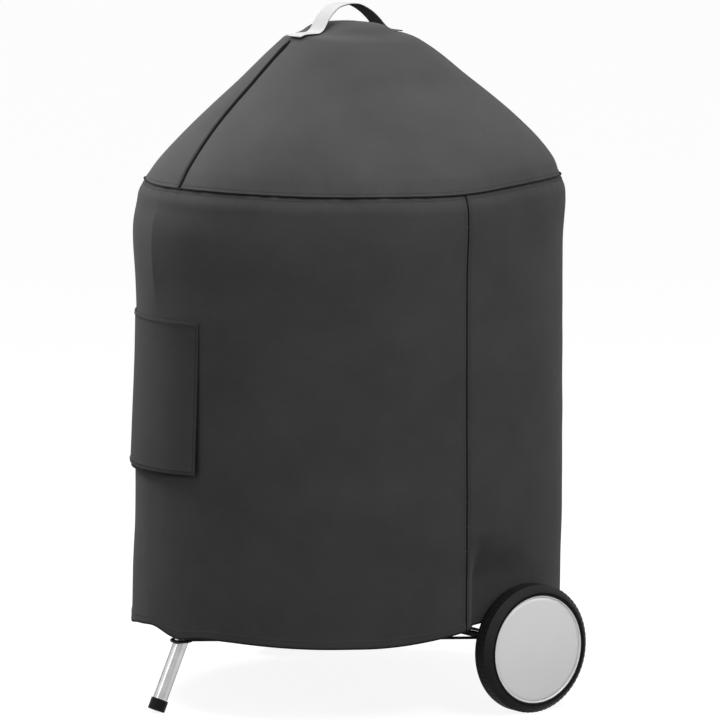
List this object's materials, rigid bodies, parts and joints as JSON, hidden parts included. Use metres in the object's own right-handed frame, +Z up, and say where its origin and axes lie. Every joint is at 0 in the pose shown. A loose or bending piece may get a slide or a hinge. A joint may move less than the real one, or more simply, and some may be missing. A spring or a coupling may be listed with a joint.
{
  "type": "covered kettle charcoal grill",
  "caption": "Kettle charcoal grill on a wheeled tube stand under a fitted fabric cover that lifts off; lid, grates, ash cleaner, ash pan and wheels all move.",
  "frame": {"origin": "on the floor under the middle of the whole object", "axes": "+Z up, +X along the wheel axle to the right wheel, the single front leg towards -Y"},
  "size_m": [0.71, 0.7159, 1.0838],
  "materials": {
    "cover_fabric": "coated woven fabric, dark grey, matt with a faint weave",
    "cover_trim": "black bias-bound piping",
    "webbing": "woven webbing, light grey outside and black inside",
    "mesh": "fine black polyester mesh",
    "enamel": "gloss black porcelain enamel",
    "leg_aluminium": "satin aluminium tube",
    "sheet_aluminium": "brushed aluminium sheet",
    "plated_steel": "plated steel rod and hardware",
    "rack_wire": "black coated wire",
    "coated_steel": "black powder coat",
    "grip_nylon": "black glass-filled nylon",
    "wheel_plastic": "black moulded plastic, fine grain",
    "cap_silver": "satin silver"
  },
  "bodies": {
    "stand": {"bowl": "enamel", "cooking_grate_tabs": "coated_steel", "charcoal_grate_tabs": "coated_steel", "front_leg_socket": "coated_steel", "left_leg_socket": "coated_steel", "right_leg_socket": "coated_steel", "front_leg": "leg_aluminium", "left_leg": "leg_aluminium", "right_leg": "leg_aluminium", "foot_cap": "grip_nylon", "right_leg_plug": "grip_nylon", "left_leg_plug": "grip_nylon", "axle_spacers": "plated_steel", "axle": "plated_steel", "axle_washers": "plated_steel", "axle_push_nuts": "plated_steel", "wire_rack": "rack_wire", "front_handle_bracket": "coated_steel", "rear_handle_bracket": "coated_steel", "front_bowl_handle": "grip_nylon", "rear_bowl_handle": "grip_nylon", "bowl_handle_screws": "plated_steel", "ash_pan_clips": "coated_steel"},
    "right_wheel": {"right_tyre": "wheel_plastic", "right_hub": "wheel_plastic", "right_hub_cap": "cap_silver", "right_wheel_bush": "plated_steel"},
    "left_wheel": {"left_tyre": "wheel_plastic", "left_hub": "wheel_plastic", "left_hub_cap": "cap_silver", "left_wheel_bush": "plated_steel"},
    "cooking_grate": {"cooking_grate": "plated_steel"},
    "right_flap": {"right_grate_flap": "plated_steel"},
    "left_flap": {"left_grate_flap": "plated_steel"},
    "charcoal_grate": {"charcoal_grate": "plated_steel"},
    "cleaner": {"cleaner_blades": "sheet_aluminium", "cleaner_shaft": "plated_steel", "cleaner_lever": "coated_steel", "cleaner_grip": "grip_nylon", "cleaner_nut": "plated_steel"},
    "ash_pan": {"ash_pan": "sheet_aluminium"},
    "lid": {"lid": "enamel", "damper_rivet": "plated_steel", "lid_hook": "coated_steel", "lid_grip": "grip_nylon", "lid_bracket": "coated_steel", "heat_shield": "sheet_aluminium", "lid_bolts": "plated_steel"},
    "damper": {"lid_damper": "sheet_aluminium"},
    "cover": {"cover_cone_left": "cover_fabric", "cover_cone_right": "cover_fabric", "cover_wall_front": "cover_fabric", "cover_wall_rear": "cover_fabric", "shoulder_piping": "cover_trim", "cover_strap": "webbing", "vent_mesh": "mesh"},
    "vent_flap": {"vent_flap": "cover_fabric"}
  },
  "joints": [
    {"name": "lid_lift", "type": "slide", "parent": "stand", "child": "lid", "axis": [0, 0, 1], "range_m": [0, 0.3]},
    {"name": "cover_lift", "type": "slide", "parent": "lid", "child": "cover", "axis": [0, 0, 1], "range_m": [0, 0.96]},
    {"name": "damper_turn", "type": "hinge", "parent": "lid", "child": "damper", "pos_m": [0.13762, -0.07659, 0.92927], "axis": [0.4775, -0.3344, 0.8125], "range_deg": [0, 45]},
    {"name": "vent_flap_turn", "type": "hinge", "parent": "cover", "child": "vent_flap", "pos_m": [-0.10709, -0.30029, 0.6055], "axis": [-0.9483, 0.3173, 0], "range_deg": [0, 100]},
    {"name": "cooking_grate_lift", "type": "slide", "parent": "stand", "child": "cooking_grate", "axis": [0, 0, 1], "range_m": [0, 0.05]},
    {"name": "right_flap_turn", "type": "hinge", "parent": "cooking_grate", "child": "right_flap", "pos_m": [0.15, 0.01977, 0.7314], "axis": [0, -1, 0], "range_deg": [0, 100]},
    {"name": "left_flap_turn", "type": "hinge", "parent": "cooking_grate", "child": "left_flap", "pos_m": [-0.15, 0.01977, 0.7314], "axis": [0, 1, 0], "range_deg": [0, 100]},
    {"name": "charcoal_grate_lift", "type": "slide", "parent": "stand", "child": "charcoal_grate", "axis": [0, 0, 1], "range_m": [0, 0.09]},
    {"name": "cleaner_turn", "type": "hinge", "parent": "stand", "child": "cleaner", "pos_m": [0, 0.01977, 0.495], "axis": [0, 0, 1], "range_deg": [0, 50]},
    {"name": "ash_pan_lift", "type": "slide", "parent": "stand", "child": "ash_pan", "axis": [0, 0, 1], "range_m": [0, 0.025]},
    {"name": "right_wheel_spin", "type": "hinge", "parent": "stand", "child": "right_wheel", "pos_m": [0.335, 0.12907, 0.1], "axis": [1, 0, 0], "continuous": true},
    {"name": "left_wheel_spin", "type": "hinge", "parent": "stand", "child": "left_wheel", "pos_m": [-0.335, 0.12907, 0.1], "axis": [1, 0, 0], "continuous": true}
  ]
}
